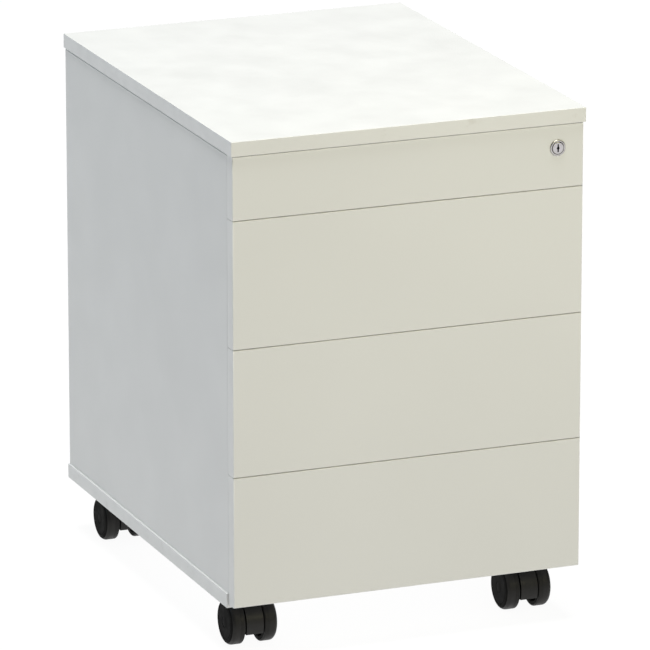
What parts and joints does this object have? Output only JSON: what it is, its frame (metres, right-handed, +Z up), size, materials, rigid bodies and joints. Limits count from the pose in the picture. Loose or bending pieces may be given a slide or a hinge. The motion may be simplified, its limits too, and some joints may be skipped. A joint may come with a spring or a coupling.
{
  "type": "rolling pedestal cabinet",
  "caption": "White office pedestal on twin-wheel casters with a shallow locking pen drawer above deep handle-less drawers.",
  "frame": {"origin": "on the floor, under the middle of the cabinet", "axes": "+Z up, -Y is the side that the drawers open towards, +X to the right of a person facing the drawers"},
  "size_m": [0.404, 0.52, 0.574],
  "materials": {
    "white_laminate": "satin melamine laminate on chipboard",
    "drawer_board": "satin melamine laminate on chipboard",
    "beech_dowel": "plain turned wood",
    "cast_zinc": "cast zinc",
    "zinc_steel": "zinc-plated steel",
    "chrome_lock": "bright nickel plate",
    "white_steel": "powder coat",
    "black_plastic": "fine-grained nylon"
  },
  "bodies": {
    "cabinet": {"top_panel": "white_laminate", "bottom_panel": "white_laminate", "left_side_panel": "white_laminate", "right_side_panel": "white_laminate", "back_panel": "white_laminate", "panel_dowels": "beech_dowel", "cam_fittings": "cast_zinc", "cabinet_rails": "zinc_steel", "rail_screws": "zinc_steel", "bar_guides": "black_plastic", "caster_plates": "zinc_steel", "caster_screws": "zinc_steel"},
    "bar": {"locking_bar": "zinc_steel", "bar_studs": "zinc_steel"},
    "lock": {"lock_plug": "chrome_lock", "lock_cam": "zinc_steel"},
    "drawer_1": {"drawer_front_1": "white_laminate", "pen_drawer_pan": "white_steel", "pen_tray": "black_plastic", "drawer_rails_1": "zinc_steel", "drawer_fixings_1": "zinc_steel", "lock_housing": "chrome_lock"},
    "drawer_2": {"drawer_front_2": "white_laminate", "drawer_sides_2": "drawer_board", "drawer_back_2": "drawer_board", "drawer_bottom_2": "drawer_board", "drawer_rails_2": "zinc_steel", "drawer_fixings_2": "zinc_steel"},
    "drawer_3": {"drawer_front_3": "white_laminate", "drawer_sides_3": "drawer_board", "drawer_back_3": "drawer_board", "drawer_bottom_3": "drawer_board", "drawer_rails_3": "zinc_steel", "drawer_fixings_3": "zinc_steel"},
    "drawer_4": {"drawer_front_4": "white_laminate", "drawer_sides_4": "drawer_board", "drawer_back_4": "drawer_board", "drawer_bottom_4": "drawer_board", "drawer_rails_4": "zinc_steel", "drawer_fixings_4": "zinc_steel"},
    "cages_1": {"ball_cages_1": "zinc_steel"},
    "cages_2": {"ball_cages_2": "zinc_steel"},
    "cages_3": {"ball_cages_3": "zinc_steel"},
    "cages_4": {"ball_cages_4": "zinc_steel"},
    "caster_fl": {"caster_body_fl": "black_plastic", "caster_pins_fl": "zinc_steel"},
    "wheel_fl_left": {"caster_wheel_fl_left": "black_plastic"},
    "wheel_fl_right": {"caster_wheel_fl_right": "black_plastic"},
    "caster_fr": {"caster_body_fr": "black_plastic", "caster_pins_fr": "zinc_steel"},
    "wheel_fr_left": {"caster_wheel_fr_left": "black_plastic"},
    "wheel_fr_right": {"caster_wheel_fr_right": "black_plastic"},
    "caster_rl": {"caster_body_rl": "black_plastic", "caster_pins_rl": "zinc_steel"},
    "wheel_rl_left": {"caster_wheel_rl_left": "black_plastic"},
    "wheel_rl_right": {"caster_wheel_rl_right": "black_plastic"},
    "caster_rr": {"caster_body_rr": "black_plastic", "caster_pins_rr": "zinc_steel"},
    "wheel_rr_left": {"caster_wheel_rr_left": "black_plastic"},
    "wheel_rr_right": {"caster_wheel_rr_right": "black_plastic"}
  },
  "joints": [
    {"name": "drawer_1_slide", "type": "slide", "parent": "cabinet", "child": "drawer_1", "axis": [0, -1, 0], "range_m": [0, 0.34]},
    {"name": "cages_1_slide", "type": "slide", "parent": "cabinet", "child": "cages_1", "axis": [0, -1, 0], "range_m": [0, 0.17]},
    {"name": "drawer_2_slide", "type": "slide", "parent": "cabinet", "child": "drawer_2", "axis": [0, -1, 0], "range_m": [0, 0.34]},
    {"name": "cages_2_slide", "type": "slide", "parent": "cabinet", "child": "cages_2", "axis": [0, -1, 0], "range_m": [0, 0.17]},
    {"name": "drawer_3_slide", "type": "slide", "parent": "cabinet", "child": "drawer_3", "axis": [0, -1, 0], "range_m": [0, 0.34]},
    {"name": "cages_3_slide", "type": "slide", "parent": "cabinet", "child": "cages_3", "axis": [0, -1, 0], "range_m": [0, 0.17]},
    {"name": "drawer_4_slide", "type": "slide", "parent": "cabinet", "child": "drawer_4", "axis": [0, -1, 0], "range_m": [0, 0.34]},
    {"name": "cages_4_slide", "type": "slide", "parent": "cabinet", "child": "cages_4", "axis": [0, -1, 0], "range_m": [0, 0.17]},
    {"name": "lock_turn", "type": "hinge", "parent": "drawer_1", "child": "lock", "pos_m": [0.17, -0.2375, 0.532], "axis": [0, 1, 0], "range_deg": [0, 180]},
    {"name": "bar_slide", "type": "slide", "parent": "cabinet", "child": "bar", "axis": [0, 0, -1], "range_m": [0, 0.01]},
    {"name": "swivel_fl", "type": "hinge", "parent": "cabinet", "child": "caster_fl", "pos_m": [-0.16, -0.177, 0.0555], "axis": [0, 0, 1], "continuous": true},
    {"name": "roll_fl_left", "type": "hinge", "parent": "caster_fl", "child": "wheel_fl_left", "pos_m": [-0.16, -0.193, 0.025], "axis": [1, 0, 0], "continuous": true},
    {"name": "roll_fl_right", "type": "hinge", "parent": "caster_fl", "child": "wheel_fl_right", "pos_m": [-0.16, -0.193, 0.025], "axis": [1, 0, 0], "continuous": true},
    {"name": "swivel_fr", "type": "hinge", "parent": "cabinet", "child": "caster_fr", "pos_m": [0.16, -0.177, 0.0555], "axis": [0, 0, 1], "continuous": true},
    {"name": "roll_fr_left", "type": "hinge", "parent": "caster_fr", "child": "wheel_fr_left", "pos_m": [0.16, -0.193, 0.025], "axis": [1, 0, 0], "continuous": true},
    {"name": "roll_fr_right", "type": "hinge", "parent": "caster_fr", "child": "wheel_fr_right", "pos_m": [0.16, -0.193, 0.025], "axis": [1, 0, 0], "continuous": true},
    {"name": "swivel_rl", "type": "hinge", "parent": "cabinet", "child": "caster_rl", "pos_m": [-0.16, 0.216, 0.0555], "axis": [0, 0, 1], "continuous": true},
    {"name": "roll_rl_left", "type": "hinge", "parent": "caster_rl", "child": "wheel_rl_left", "pos_m": [-0.16, 0.2, 0.025], "axis": [1, 0, 0], "continuous": true},
    {"name": "roll_rl_right", "type": "hinge", "parent": "caster_rl", "child": "wheel_rl_right", "pos_m": [-0.16, 0.2, 0.025], "axis": [1, 0, 0], "continuous": true},
    {"name": "swivel_rr", "type": "hinge", "parent": "cabinet", "child": "caster_rr", "pos_m": [0.16, 0.216, 0.0555], "axis": [0, 0, 1], "continuous": true},
    {"name": "roll_rr_left", "type": "hinge", "parent": "caster_rr", "child": "wheel_rr_left", "pos_m": [0.16, 0.2, 0.025], "axis": [1, 0, 0], "continuous": true},
    {"name": "roll_rr_right", "type": "hinge", "parent": "caster_rr", "child": "wheel_rr_right", "pos_m": [0.16, 0.2, 0.025], "axis": [1, 0, 0], "continuous": true}
  ],
  "couplings": [
    {"joint": "cages_1_slide", "follows": "drawer_1_slide", "ratio": 0.5},
    {"joint": "cages_2_slide", "follows": "drawer_2_slide", "ratio": 0.5},
    {"joint": "cages_3_slide", "follows": "drawer_3_slide", "ratio": 0.5},
    {"joint": "cages_4_slide", "follows": "drawer_4_slide", "ratio": 0.5},
    {"joint": "lock_turn", "follows": "bar_slide", "rad_per_m": 314.16}
  ]
}
